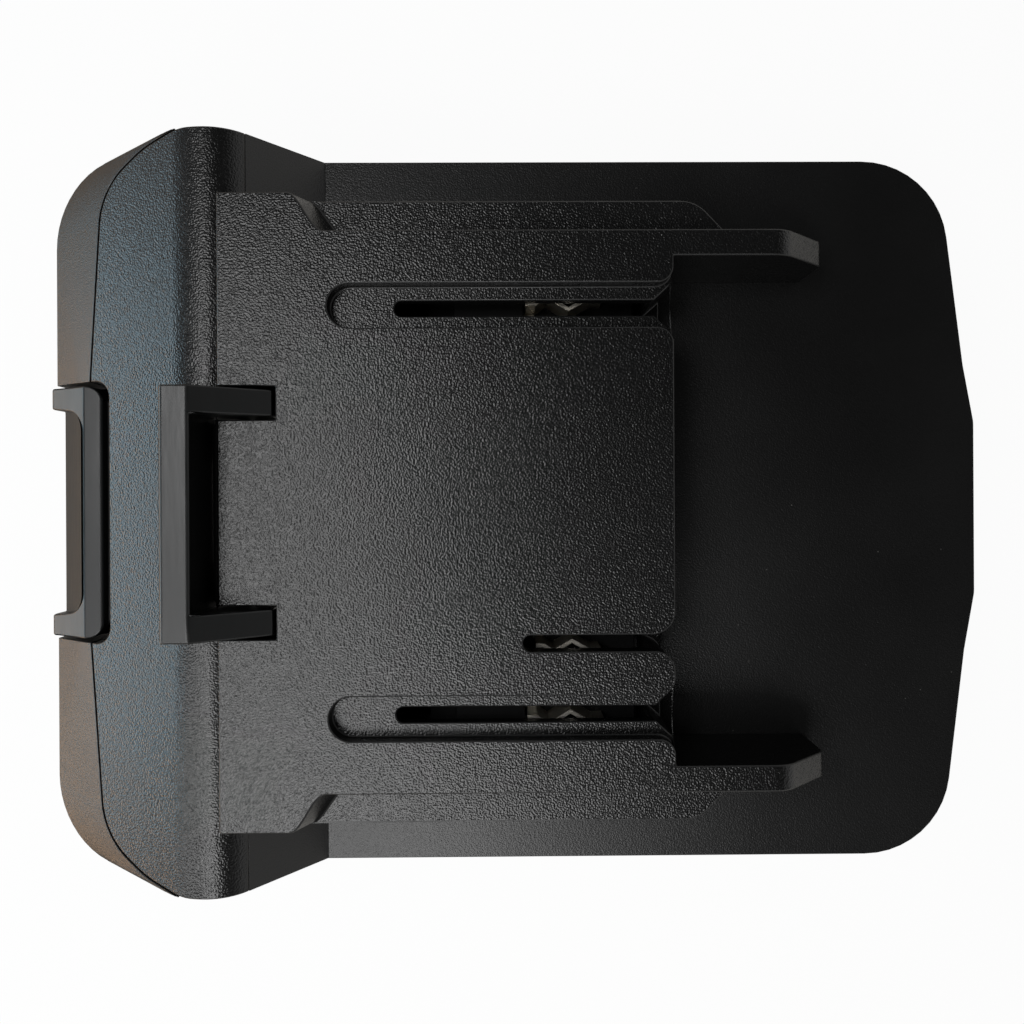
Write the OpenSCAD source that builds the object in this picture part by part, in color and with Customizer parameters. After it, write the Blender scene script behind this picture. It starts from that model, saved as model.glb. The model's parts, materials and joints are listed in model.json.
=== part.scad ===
// Slide-on tool battery adapter: takes one make of battery below and fits another make of tool above.
// Millimetres, +Z up, origin under the middle of the object on the plane it stands on.
// The tool slides on along X from +X, the release button is at -X.

/* [Case] */
// Overall length of the case without the button ears
case_l = 100.2; // [96:0.2:106]
// Overall width of the case
case_w = 76.2; // [74:0.2:84]
// Height of the joint between lower and upper shell
split_z = 14; // [13:0.5:15]
// Height of the deck beside the rails
deck_z = 26; // [25:0.5:28]
// Wall thickness of the mouldings
wall = 2.2; // [1.6:0.1:2.4]
// Radius of the front corners of the case
front_r = 8.4; // [6:0.2:11]
// Radius of the rear corners of the case
rear_r = 9.5; // [5:0.5:10]

/* [Tool rails] */
// Height of the rail platform above the deck
rail_h = 11.4; // [10.6:0.2:12]
// Width of the rail platform
rail_w = 54.6; // [53:0.2:55.4]
// Width over the two flanges that the tool grips
flange_w = 62; // [60:0.2:63]
// Thickness of the flanges
flange_t = 3.1; // [2.4:0.1:3.5]
// Step from the platform top down to the flange top
flange_drop = 2.85; // [2.2:0.05:3.4]
// Rear end of the platform between the rail arms
platform_x = 15.15; // [14.4:0.15:16.2]
// Thickness of the rail arms behind the platform
arm_t = 2.55; // [2:0.05:3]
// Rear end of the flat top of the rail arms
arm_x = 26.05; // [24:0.5:28]
// Length of the sloping lead-in at the end of an arm
arm_lead = 5; // [3.5:0.5:6.5]

/* [Terminal slots] */
// Distance between the two power slots
slot_pitch = 40; // [39:0.2:41]
// Width of the slots that the blades of the tool enter
slot_w = 1.5; // [1.4:0.1:2.1]
// Width of the recess around each power slot
recess_w = 4.3; // [3.6:0.1:4.6]
// Depth of that recess
recess_d = 1.6; // [1.4:0.1:2.4]
// Sideways place of the signal slot
signal_y = -12.8; // [-14:0.2:-11.6]

/* [Latch] */
// Width of the latch hook
latch_w = 23.8; // [22:0.2:24]
// Height of the hook above the platform
hook_h = 4.5; // [3.5:0.1:5]
// Downward travel of the latch
latch_travel = 5; // [4:0.1:5.2]
// Gap around the latch in the mouldings
latch_gap = 0.35; // [0.3:0.05:0.6]
// Width of the release button
button_w = 26.6; // [23:0.2:27]

/* [Battery bay] */
// Width of the bay above the lips
bay_w = 55; // [50:0.5:56]
// Width of the mouth between the lips
mouth_w = 46; // [40:0.5:48]
// Height of the lips
lip_h = 4.5; // [3.5:0.1:5]
// Height of the bay
bay_h = 12; // [11.4:0.1:12.4]
// Depth of the end of the case behind the bay
end_l = 14; // [13.4:0.2:15.4]

/* [Electrical] */
// Sheet thickness of the spring contacts
leaf_t = 0.5; // [0.4:0.05:0.6]
// Thickness of the battery blades
blade_t = 0.8; // [0.6:0.05:1]
// Distance between the two power blades
blade_pitch = 18; // [16:0.2:20]
// Height of the power blades
blade_h = 6.4; // [5.6:0.1:6.8]
// Length of the power blades in front of their block
blade_l = 15; // [12:0.5:16]
// Outer diameter of the power leads
lead_d = 2.6; // [2:0.1:3]
// Outer diameter of the signal leads
signal_d = 1.3; // [1:0.1:1.6]

/* [Springs] */
// Outer diameter of the latch springs
spring_d = 6; // [5.2:0.1:6.2]
// Wire diameter of the latch springs
spring_wire = 0.8; // [0.6:0.05:0.9]
// Turns of the latch springs
spring_turns = 6; // [4:1:7]

/* [Hidden] */
$fn = 48;

// Clearance of pieces that lie in one another on the same body
fit = 0.1;
// Overlap of cutting tools past the faces they cut
cut = 1;
// Half widths that many pieces share
half_w = case_w / 2;
rail_y = rail_w / 2;
flange_y = flange_w / 2;
slot_y = slot_pitch / 2;
// Ends of the case
front_x = -case_l / 2 + 0.1;
rear_x = case_l / 2 + 0.1;
// Heights worked out from the deck
top_z = deck_z + rail_h;
flange_z1 = top_z - flange_drop;
flange_z0 = flange_z1 - flange_t;
floor_z = split_z;
// The cap over the front: two arcs round the ridge, a front slope and a rear slope
cap_t = 2;
ridge_x = front_x + 19.1;
ridge_z = top_z - 1.7;
front_slope = 25;
rear_slope = 51.4;
ridge_front_r = 8;
ridge_rear_r = 4.5;
cap_end_z = top_z - 3.5;
cap_front = front_x + 5;
// Around the cap: its seam, a flat land, and a strip whose outer edge lies lower by strip_d
seam = 0.1;
land = 0.2;
strip_d = 1;
// Latch places along X
bar_x0 = ridge_x - 2.15;
bar_x1 = bar_x0 + 2.9;
bar_edge = 0.15;
hook_x1 = bar_x1 + 6.35;
arm_y0 = latch_w / 2 - 2.55;
latch_y = latch_w / 2;
button_y = button_w / 2;
button_x1 = cap_front + 1.3;
button_x0 = front_x - 0.7;
// Height at which the front of the button starts to lean back
lean_z = deck_z + 0.3;
notch_x = button_x1 + 1.4;
web_z0 = deck_z + 0.5;
web_t = 2;
spring_x = ridge_x - 5.5;
spring_y = 7.4;
spring_h = web_z0 - floor_z;
// Front ends of the platform, of the recesses and of the slots, and the width of the signal slot
platform_x0 = ridge_x + 1.85;
recess_x = platform_x - 33.6;
slot_x = platform_x - 27.3;
signal_x = platform_x - 14.8;
signal_slot_w = slot_w + 0.1;
slot_funnel = 1.7;
// Screw places
case_screw_x = [front_x + 12, rear_x - 19.7];
case_screw_y = half_w - 5.3;
cover_screw_y = rail_y - 9.3;
cover_screw_at = [
    [platform_x0 + 7.55, cover_screw_y],
    [platform_x0 + 7.55, -cover_screw_y],
    [platform_x - 4.85, 1]
];
// Block of the battery blades at the end of the bay: body, nose, and ears with its screws
bay_x = rear_x - end_l;
block_x0 = bay_x + 2.2;
block_x1 = rear_x - 3.1;
block_mid = (block_x0 + block_x1) / 2;
block_y = blade_pitch / 2 + 5.4;
nose_y = blade_pitch / 2 + 3.7;
nose_z = 3.7;
block_screw_y = block_y + 3.6;
ear_y = block_screw_y + 3.4;
blade_z = 7.6;
tail_z = floor_z + 6;
signal_blade_h = blade_h - 2;
signal_blade_l = blade_l - 2.5;
// Catch window for the latch of the battery
catch_x = front_x + 23;
catch_y = 7;
// Contact carrier inside the platform
carrier_x = [platform_x - 24.65, platform_x - wall - 0.5];
carrier_z = deck_z + 2;
leaf_h = 4.4;
tail_in = 0.6;
// Kinds of clip: front end, place of the pinch, half width, and size of the bends
power_clip = [platform_x - 20.65, platform_x - 9.95, 1.1, 1];
signal_clip = [platform_x - 18.35, platform_x - 9.75, 0.95, 0.85];
// The three clips, each with its sideways place first
clips = [
    concat([slot_y], power_clip),
    concat([-slot_y], power_clip),
    concat([signal_y], signal_clip)
];
// From the end of the foot of a clip to its pinch
foot = 3.4;
// From the middle of a power slot to the side of the opening in the deck under it
lead_room = 2.3;
// Ribs under the cover that hold the carrier down
rib_y = [14.4, 4, -6.4];
// Signal board
board_x = [platform_x - 34.15, platform_x - 8.15];
board_y = 11;
peg_in = 2.5;
board_z = floor_z + 3;
board_t = 1.6;
peg_r = 1.1;

black = [0.11, 0.11, 0.12];

// Points of the corner at q between p and n, rounded to radius r in k steps
function corner(p, q, n, r, k) =
    let (a = (p - q) / norm(p - q))
    let (b = (n - q) / norm(n - q))
    let (h = acos(a * b) / 2)
    let (c = q + (a + b) / norm(a + b) * r / sin(h))
    let (s = q + a * r / tan(h) - c)
    let (e = q + b * r / tan(h) - c)
    let (w = atan2(s.y, s.x))
    let (d = (atan2(e.y, e.x) - w + 540) % 360 - 180)
    [for (i = [0 : k]) c + r * [cos(w + d * i / k), sin(w + d * i / k)]];

// A closed outline whose corners [x, y, r] are rounded, or left sharp where r is 0
function rounded(v, k = 10) = [
    for (i = [0 : len(v) - 1])
        let (p = v[(i + len(v) - 1) % len(v)])
        let (n = v[(i + 1) % len(v)])
        let (q = v[i])
        each q[2] > 0
            ? corner([p.x, p.y], [q.x, q.y], [n.x, n.y], q[2], k)
            : [[q.x, q.y]]
];

// The same half outline on both sides of the X axis
function both(v) = concat(v, [for (i = [len(v) - 1 : -1 : 0]) [v[i].x, -v[i].y, v[i][2]]]);

// Front corner of the case with the slant beside it, g further out than the outer face
function front_corner(g = 0) = [
    [front_x - g, half_w - 2.9 + g * 0.75, front_r + g],
    [front_x + 13.2, half_w + g, 8]
];

// Plan of the case, g further out than its outer face
function case_plan(g = 0) = rounded(both(concat(front_corner(g), [
    [rear_x - 3.9 + g, half_w + g, rear_r + g],
    [rear_x - 1.15 + g, 15.7, 3],
    [rear_x + g, 9.4, 4]
])));

// Plan of the front of the case, cut off square at x1
function front_plan(x1) = rounded(both(concat(front_corner(), [[x1, half_w, 0]])));

// Plan of the cap, g further out than its edge, with its sides out beyond those of the case
function cap_plan(g, x1, out = 0) = rounded(both([
    [cap_front - g, 10, 60],
    [cap_front + 1.9 - g, half_w - 4.6 + g * 0.6, 7],
    [ridge_x - 6.9 - g * 0.35, half_w - 1.33 + g, 10],
    [ridge_x - 2.6 + (out - g) * 3.2, half_w + out, 7],
    [x1, half_w + out, 0]
]));

// Height profile of the cap, d below its top: front slope, both ridge arcs, rear slope
function cap_line(d, x0, x1) =
    let (a = ridge_front_r - d)
    let (b = ridge_rear_r - d)
    let (c = [ridge_x, ridge_z - ridge_front_r])
    let (e = [ridge_x, ridge_z - ridge_rear_r])
    let (s = c + a * [-sin(front_slope), cos(front_slope)])
    let (t = e + b * [sin(rear_slope), cos(rear_slope)])
    concat(
        [[x0, s.y + (x0 - s.x) * tan(front_slope)]],
        [for (i = [0 : 6]) let (w = front_slope * (1 - i / 6)) c + a * [-sin(w), cos(w)]],
        [for (i = [1 : 8]) let (w = rear_slope * i / 8) e + b * [sin(w), cos(w)]],
        [[x1, t.y - (x1 - t.x) * tan(rear_slope)]]
    );

// X of the rear slope at height z, d below the surface
function slope_x(z, d = 0) =
    let (t = [ridge_x, ridge_z - ridge_rear_r]
        + (ridge_rear_r - d) * [sin(rear_slope), cos(rear_slope)])
    t.x + (t.y - z) / tan(rear_slope);

cap_end_x = slope_x(cap_end_z);

// An X and Z outline carried along Y from y0 to y1
module along_y(y0, y1) {
    translate([0, y1, 0])
        rotate([90, 0, 0])
            linear_extrude(y1 - y0)
                children();
}

// A box between two corners
module box(a, b) {
    translate(a)
        cube(b - a);
}

// An upright cylinder from z0 to z1
module post(x, y, z0, z1, r) {
    translate([x, y, z0])
        cylinder(h = z1 - z0, r = r);
}

// Its children on both sides of the X axis
module mirrored() {
    children();
    mirror([0, 1, 0])
        children();
}

// The solid under the cap profile, d below the cap surface
module under_cap(d, x1 = cap_end_x) {
    along_y(-half_w - cut, half_w + cut)
        polygon(concat(cap_line(d, front_x - 4, x1), [[x1, 0], [front_x - 4, 0]]));
}

// A flat strip of thickness t along an open line of points
function ribbon(v, t) =
    let (n = len(v) - 1)
    let (d = [for (i = [0 : n]) v[min(i + 1, n)] - v[max(i - 1, 0)]])
    let (m = [for (e = d) [-e.y, e.x] / norm(e) * t / 2])
    concat([for (i = [0 : n]) v[i] + m[i]], [for (i = [n : -1 : 0]) v[i] - m[i]]);

// Points on a smooth curve through the given points, k to each stretch
function smooth(v, k) =
    let (n = len(v) - 1)
    concat(
        [for (i = [0 : n - 1], j = [0 : k - 1])
            let (a = v[max(i - 1, 0)], b = v[i], c = v[i + 1], d = v[min(i + 2, n)])
            let (t = j / k)
            0.5 * (2 * b + (c - a) * t + (2 * a - 5 * b + 4 * c - d) * t * t
                + (3 * b - a - 3 * c + d) * t * t * t)],
        [v[n]]
    );

// A round tube of radius r along the points v, its rings turned from the direction up
module tube(v, r, up, sides) {
    n = len(v) - 1;
    d = [for (i = [0 : n]) v[min(i + 1, n)] - v[max(i - 1, 0)]];
    ring = [for (i = [0 : n], j = [0 : sides - 1])
        let (t = d[i] / norm(d[i]))
        let (a = cross(t, up) / norm(cross(t, up)))
        let (b = cross(t, a))
        v[i] + r * (cos(360 * j / sides) * a + sin(360 * j / sides) * b)];
    side = [for (i = [0 : n - 1], j = [0 : sides - 1])
        let (a = i * sides + j, b = i * sides + (j + 1) % sides)
        each [[a, b, a + sides], [b, b + sides, a + sides]]];
    ends = [for (j = [1 : sides - 2])
        each [[0, j + 1, j], [n * sides, n * sides + j, n * sides + j + 1]]];
    polyhedron(ring, concat(side, ends));
}

// Screw with a rounded head below z and its shank above, cross recess in the head
module screw(head_r, head_h, shank_r, length) {
    difference() {
        union() {
            translate([0, 0, -head_h])
                cylinder(h = head_h, r = head_r);
            translate([0, 0, -0.01])
                cylinder(h = length, r = shank_r);
        }
        for (w = [0, 90])
            rotate([0, 0, w])
                translate([-head_r * 0.6, -0.35, -head_h - cut])
                    cube([head_r * 1.2, 0.7, cut + head_h * 0.55]);
    }
}

case_head_r = 2.7;
case_head_h = 2;
case_head_z = 5;
case_shank_r = 1.4;
case_shank_l = deck_z - wall - case_head_z - 1;

module lower_shell() {
    leg_y0 = bay_w / 2 + 1.8;
    leg_y1 = half_w - wall;
    color(black)
    difference() {
        union() {
            difference() {
                linear_extrude(split_z)
                    polygon(case_plan());
                // Hollow legs beside the bay
                mirrored()
                    box([front_x + 9, leg_y0, 2], [bay_x, leg_y1, split_z + cut]);
                // Pocket behind the bay for the blade block
                box([block_x0, -ear_y - 2.6, 2], [block_x1 + 0.2, ear_y + 2.6, split_z + cut]);
            }
            mirrored()
                for (x = case_screw_x)
                    post(x, case_screw_y, 1, split_z, 4);
            mirrored()
                post(block_mid, block_screw_y, 1, split_z - 2, 3.2);
            mirrored()
                post(spring_x, spring_y, split_z - 1, split_z + 4, 1.7);
            // Plate that closes the case behind the button
            box([button_x1 - 2.1, -button_y + 2.4, split_z - 1],
                [button_x1 - 0.7, button_y - 2.4, web_z0 - latch_travel - 0.6]);
            for (x = [board_x[0] + peg_in, board_x[1] - peg_in], y = [-1, 1] * (board_y - peg_in)) {
                post(x, y, split_z - 1, board_z, 2);
                post(x, y, split_z - 1, board_z + board_t + 0.6, peg_r);
            }
        }
        // Bay for the battery: wide channel over two lips, open at the front
        box([front_x - cut, -bay_w / 2, lip_h], [bay_x, bay_w / 2, bay_h]);
        box([front_x - cut, -mouth_w / 2, -cut], [bay_x, mouth_w / 2, bay_h]);
        // Catch window for the latch of the battery
        box([catch_x, -catch_y, bay_h - cut], [catch_x + 4.5, catch_y, split_z + cut]);
        // Nose of the blade block
        box([bay_x - cut, -nose_y - 0.3, nose_z - 0.3],
            [block_x0 + cut, nose_y + 0.3, split_z + cut]);
        mirrored()
            for (x = case_screw_x) {
                post(x, case_screw_y, -cut, case_head_z, case_head_r + 0.3);
                post(x, case_screw_y, -cut, split_z + cut, case_shank_r + 0.25);
            }
        mirrored()
            post(block_mid, block_screw_y, 5, split_z, 1.3);
    }
}

// Outside of the upper shell, filled
module upper_body() {
    translate([0, 0, split_z])
        linear_extrude(deck_z - split_z)
            polygon(case_plan());
    hull() {
        intersection() {
            translate([0, 0, split_z])
                linear_extrude(top_z)
                    polygon(front_plan(slope_x(deck_z) - 0.5));
            under_cap(strip_d, slope_x(deck_z));
        }
        intersection() {
            translate([0, 0, split_z])
                linear_extrude(top_z)
                    polygon(cap_plan(seam + land, slope_x(deck_z)));
            under_cap(0, slope_x(deck_z));
        }
    }
}

// Cutter of the opening of the button through shell and cap
module button_way() {
    y = button_y + latch_gap;
    translate([0, 0, split_z - cut])
        linear_extrude(top_z)
            polygon(rounded(both([[front_x - 5, y, 0], [notch_x, y, 1.8]])));
}

module upper_shell() {
    inner_z = deck_z - wall;
    color(black)
    difference() {
        union() {
            difference() {
                upper_body();
                // Seat of the cap
                difference() {
                    linear_extrude(top_z + 20)
                        polygon(cap_plan(seam, cap_end_x, 0.5));
                    under_cap(cap_t);
                }
                // Room under the cap
                translate([0, 0, inner_z - 1])
                    linear_extrude(top_z)
                        polygon(rounded(both([
                            [notch_x, half_w - 7.9, 4.5],
                            [ridge_x - 2.1, half_w - 3, 3],
                            [cap_end_x - 1.8, half_w - 3, 0]
                        ])));
                // Room inside the walls
                translate([0, 0, split_z - cut])
                    linear_extrude(inner_z - split_z + cut)
                        polygon(case_plan(-wall));
                // Opening under the platform
                box([cap_end_x - 3, -rail_y + wall, inner_z - cut],
                    [slope_x(deck_z) - 0.3, rail_y - wall, top_z]);
                box([slope_x(deck_z) - 1, -slot_y - lead_room, inner_z - cut],
                    [platform_x - wall - 1.2, slot_y + lead_room, top_z]);
            }
            mirrored()
                for (x = case_screw_x)
                    post(x, case_screw_y, split_z, inner_z + 1, 3.8);
            // Tongues of the deck that carry the cover screws
            mirrored()
                box([cover_screw_at[0].x - 2.4, cover_screw_y - 3.4, inner_z],
                    [cover_screw_at[0].x + 2.3, rail_y - wall + 0.5, deck_z]);
            box([cover_screw_at[2].x - 2.7, cover_screw_at[2].y - 3.6, inner_z],
                [platform_x - wall, cover_screw_at[2].y + 3.6, deck_z]);
        }
        button_way();
        mirrored()
            for (x = case_screw_x)
                post(x, case_screw_y, split_z - cut, split_z + case_shank_l - 7, case_shank_r + 0.05);
        for (p = cover_screw_at)
            post(p.x, p.y, inner_z - cut, deck_z + cut, 1.4);
    }
}

// One flange with its front block, smooth ramp and rear corner, on the +Y side
module flange() {
    x0 = platform_x0;
    x1 = x0 + 6.7;
    x2 = x0 + 10.2;
    translate([0, 0, flange_z0])
        linear_extrude(flange_t)
            polygon(rounded([
                [x0, rail_y - 1, 0],
                [x0, flange_y, 0],
                [platform_x + 2.75, flange_y, 3.6],
                [platform_x + 6.45, rail_y - 0.2, 0],
                [platform_x + 6.45, rail_y - 1, 0]
            ]));
    // Front block at full height, its rear end a ramp that is an S in plan
    skin([
        [for (p = s_plan(x0, x1 + 1.4, x2 + 1.9)) [p.x, p.y, flange_z1 - 0.01]],
        [for (p = s_plan(x0, x1, x2)) [p.x, p.y, top_z]]
    ]);
}

// Plan of the front block of a flange, from x0 to an S between x1 and x2
function s_plan(x0, x1, x2) = concat(
    [[x0, rail_y - 1], [x0, flange_y]],
    [for (i = [0 : 12])
        [x1 + (x2 - x1) * i / 12, flange_y - (flange_y - rail_y) * (1 - cos(15 * i)) / 2]],
    [[x2, rail_y - 1]]
);

// Solid through a row of closed outlines with as many points each
module skin(rings) {
    n = len(rings[0]);
    m = len(rings) - 1;
    side = [for (k = [0 : m - 1], i = [0 : n - 1])
        let (a = k * n + i, b = k * n + (i + 1) % n)
        each [[a, b, b + n], [a, b + n, a + n]]];
    polyhedron(
        [for (ring = rings) each ring],
        concat(side, [[for (i = [n - 1 : -1 : 0]) i]], [[for (i = [0 : n - 1]) m * n + i]])
    );
}

// Arm of the rail behind the platform with its rolled lead-in, on the +Y side
module rail_arm() {
    along_y(rail_y - arm_t, rail_y)
        polygon(rounded([
            [platform_x - 2, deck_z, 0],
            [platform_x - 2, top_z, 0],
            [arm_x, top_z, 3],
            [arm_x + arm_lead, top_z - 4.6, 1.5],
            [arm_x + arm_lead, deck_z, 0]
        ]));
}

// Cutter of a slot with a round front end that opens at the rear of the platform
module slot_cut(x0, y, w, z0) {
    translate([0, y, z0]) {
        translate([x0 + w / 2, 0, 0])
            cylinder(h = top_z - z0 + cut, d = w);
        translate([x0 + w / 2, -w / 2, 0])
            cube([platform_x + cut - x0 - w / 2, w, top_z - z0 + cut]);
    }
}

// Cutter that rounds off the corner of the platform end at y, on the side dir
module mouth_cut(y, dir, r, z0) {
    translate([platform_x - r, y + dir * r, z0])
        difference() {
            translate([0, dir > 0 ? -r - 0.01 : 0, 0])
                cube([r + cut, r + 0.01, top_z - z0 + cut]);
            translate([0, 0, -cut])
                cylinder(h = top_z - z0 + 3 * cut, r = r);
        }
}

// Cutter that widens the rear end of a power slot to a funnel, for its middle at y
module funnel_cut(y, z0) {
    translate([0, y, z0])
        linear_extrude(top_z - z0)
            polygon(rounded(both([
                [platform_x - slot_funnel, slot_w / 2, 0],
                [platform_x + cut, recess_w / 2 + 1.1, 0]
            ])));
}

// Tongue of the platform between the latch arms, its front edge rolled over
module tongue(x0, x1) {
    y = arm_y0 - latch_gap;
    r = 1.2;
    intersection() {
        along_y(-y, y)
            polygon(rounded([
                [x0, ridge_z - cap_t, 0],
                [x0, top_z, r],
                [x1, top_z, 0],
                [x1, ridge_z - cap_t, 0]
            ]));
        linear_extrude(top_z + cut)
            polygon(rounded(both([[x0, y, r], [x1, y, 0]])));
    }
}

module top_cover() {
    in_y = rail_y - wall;
    in_x = platform_x - wall;
    tongue_x = bar_x1 + latch_gap;
    x0 = platform_x0;
    color([0.13, 0.13, 0.14])
    difference() {
        union() {
            // Cap over the front of the case
            difference() {
                intersection() {
                    linear_extrude(top_z + 20)
                        polygon(cap_plan(0, cap_end_x));
                    under_cap(0);
                }
                under_cap(cap_t);
            }
            // Platform with flanges and arms, above the body of the case
            difference() {
                union() {
                    box([x0, -rail_y, deck_z], [platform_x, rail_y, top_z]);
                    tongue(tongue_x, x0 + 1);
                    mirrored() {
                        flange();
                        rail_arm();
                    }
                }
                // Body of the case under its rear slope
                along_y(-half_w, half_w)
                    polygon([
                        [x0 - 4, deck_z - 1],
                        [x0 - 4, ridge_z - cap_t],
                        [slope_x(ridge_z - cap_t, cap_t), ridge_z - cap_t],
                        [slope_x(cap_end_z - cap_t, cap_t), cap_end_z - cap_t],
                        [cap_end_x, cap_end_z],
                        [slope_x(deck_z), deck_z],
                        [slope_x(deck_z), deck_z - 1]
                    ]);
                // Room inside the platform, less deep over the power slots
                difference() {
                    box([x0 + wall, -in_y, deck_z - cut], [in_x, in_y, top_z - wall]);
                    for (y = [-slot_y, slot_y])
                        box([recess_x - 1.75, y - recess_w / 2 - 1.2, top_z - recess_d - 1.5],
                            [in_x + cut, y + recess_w / 2 + 1.2, top_z]);
                }
            }
            // Bosses of the cover screws, and ribs that hold the contact carrier down
            for (p = cover_screw_at)
                post(p.x, p.y, deck_z, top_z - wall + 0.5, 2.4);
            for (y = rib_y)
                box([carrier_x[0] + 0.6, y - 0.8, carrier_z], [carrier_x[0] + 2.2, y + 0.8, top_z - 1]);
            // Stops of the latch under the cap
            mirrored()
                difference() {
                    box([spring_x - 1.6, latch_y + 0.5, web_z0 + web_t + 0.1],
                        [spring_x + 2.4, latch_y + 2.6, top_z - 1]);
                    difference() {
                        box([front_x, 0, deck_z], [platform_x0, half_w, top_z + 9]);
                        under_cap(0.5);
                    }
                }
        }
        // Power slots in their recesses, and the signal slot
        for (y = [-slot_y, slot_y]) {
            slot_cut(recess_x, y, recess_w, top_z - recess_d);
            slot_cut(slot_x, y, slot_w, deck_z + 2.2);
            funnel_cut(y, deck_z + 2.2);
            mouth_cut(y + recess_w / 2, 1, 1.6, top_z - recess_d);
            mouth_cut(y - recess_w / 2, -1, 1.6, top_z - recess_d);
        }
        slot_cut(signal_x, signal_y, signal_slot_w, deck_z + 2.2);
        mouth_cut(signal_y + signal_slot_w / 2, 1, 2.2, deck_z + 2.2);
        mouth_cut(signal_y - signal_slot_w / 2, -1, 2, deck_z + 2.2);
        // Opening of the hook bar, and of its two arms
        box([bar_x0 - latch_gap, -latch_y - latch_gap, web_z0],
            [tongue_x, latch_y + latch_gap, top_z + cut]);
        mirrored()
            box([tongue_x - 1, arm_y0 - latch_gap, web_z0],
                [hook_x1 + latch_gap, latch_y + latch_gap, top_z + cut]);
        button_way();
        for (p = cover_screw_at)
            post(p.x, p.y, deck_z - cut, deck_z + 7, 1.05);
    }
}

// Cutter of the finger scoop of the button, with flared sides and round inner corners
module scoop(z0, z1) {
    intersection() {
        along_y(-button_y, button_y)
            polygon([
                [button_x0 - 2, z0 - cut],
                [button_x0 - 2, z1 + 2],
                [button_x1 - 2.1, z1 + 2],
                [button_x1 - 2.1, z1],
                [button_x0 + 1.25, lean_z - 0.4],
                [button_x0 + 0.85, lean_z - 1.6],
                [button_x0 + 0.85, z0 - cut]
            ]);
        linear_extrude(top_z)
            polygon(rounded(both([
                [button_x0 - 2, button_y - 1.9, 0],
                [button_x1 - 2.3, button_y - 2.8, 2.2]
            ])));
    }
}

module release_latch() {
    z1 = top_z + hook_h;
    slope_z = top_z - 0.2;
    bz0 = split_z + latch_travel + 1;
    bz1 = cap_line(0, button_x1 - 1.5, 0)[0].y - 0.3;
    color([0.15, 0.16, 0.16])
    difference() {
        union() {
            // Hook bar with small chamfers, the front one twice as wide
            along_y(-latch_y, latch_y)
                polygon([
                    [bar_x0, web_z0],
                    [bar_x0, z1 - 2 * bar_edge],
                    [bar_x0 + 2 * bar_edge, z1],
                    [bar_x1 - bar_edge, z1],
                    [bar_x1, z1 - bar_edge],
                    [bar_x1, web_z0]
                ]);
            // Arms that ramp down to the platform
            mirrored()
                along_y(arm_y0, latch_y)
                    polygon([
                        [bar_x1 - 1, web_z0],
                        [bar_x1 - 1, z1],
                        [bar_x1 - bar_edge, z1],
                        [hook_x1, slope_z],
                        [hook_x1, slope_z - 4],
                        [bar_x1 + 1, web_z0]
                    ]);
            // Web to the button, with lugs under the stops
            box([button_x1 - 2.4, -latch_y, web_z0], [bar_x1, latch_y, web_z0 + web_t]);
            box([spring_x - 1.2, -latch_y - 2.4, web_z0], [spring_x + 2, latch_y + 2.4, web_z0 + web_t]);
            mirrored()
                post(spring_x, spring_y, web_z0 - 2.5, web_z0 + 0.5, spring_d / 2 + 1.3);
            // Button: a slanted front with a raised ear at each end
            intersection() {
                along_y(-button_y, button_y)
                    polygon(rounded([
                        [button_x1, bz0, 0],
                        [button_x1, bz1, 0.3],
                        [button_x1 - 2, bz1, 0.6],
                        [button_x0 + 0.4, lean_z + 0.7, 0.6],
                        [button_x0, lean_z - 0.4, 0.8],
                        [button_x0, bz0, 0]
                    ], 4));
                linear_extrude(top_z)
                    polygon(rounded(both([[button_x0, button_y, 0.6], [button_x1, button_y, 1.8]])));
            }
        }
        scoop(bz0, bz1);
        // Hollow back of the button
        along_y(-button_y + 1.8, button_y - 1.8)
            polygon([
                [button_x1 + cut, bz0 - cut],
                [button_x1 + cut, web_z0],
                [button_x1 - 2.4, web_z0],
                [button_x0 + 3.2, lean_z - 4.2],
                [button_x0 + 3.2, bz0 - cut]
            ]);
        mirrored()
            post(spring_x, spring_y, web_z0 - 2.5 - cut, web_z0, spring_d / 2 + 0.35);
    }
}

// Centre line of a latch spring: close end turns and open turns between them
function spring_line() =
    let (r = (spring_d - spring_wire) / 2)
    let (h = spring_h - spring_wire - 0.1)
    let (dead = spring_wire + 0.47)
    let (open = (h - 2 * dead) / (spring_turns - 2))
    [for (i = [0 : 12 * spring_turns])
        let (u = i / 12)
        let (z = u < 1 ? dead * u
            : u > spring_turns - 1 ? h - dead * (spring_turns - u)
            : dead + open * (u - 1))
        [r * cos(360 * u), r * sin(360 * u), z + spring_wire / 2 + 0.05]];

// Least distance between turns of the spring wire, measured on its points
function spring_gap() =
    let (v = spring_line())
    min([for (i = [0 : len(v) - 10], j = [i + 9 : min(i + 15, len(v) - 1)]) norm(v[j] - v[i])])
        - spring_wire;

module latch_spring(y) {
    color([0.75, 0.76, 0.78])
    translate([spring_x, y, floor_z])
        tube(spring_line(), spring_wire / 2, [0, 0, 1], 6);
}

module latch_spring_left() {
    latch_spring(spring_y);
}

module latch_spring_right() {
    latch_spring(-spring_y);
}

module case_screws() {
    color([0.55, 0.55, 0.57])
    mirrored()
        for (x = case_screw_x)
            translate([x, case_screw_y, case_head_z])
                screw(case_head_r, case_head_h, case_shank_r, case_shank_l);
}

module cover_screws() {
    color([0.55, 0.55, 0.57])
    for (p = cover_screw_at)
        translate([p.x, p.y, deck_z - wall])
            screw(2.1, 1.5, 1, 8);
}

module block_screws() {
    color([0.55, 0.55, 0.57])
    mirrored()
        translate([block_mid, block_screw_y, split_z])
            rotate([180, 0, 0])
                screw(2.2, 1.6, 1.25, 8);
}

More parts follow.
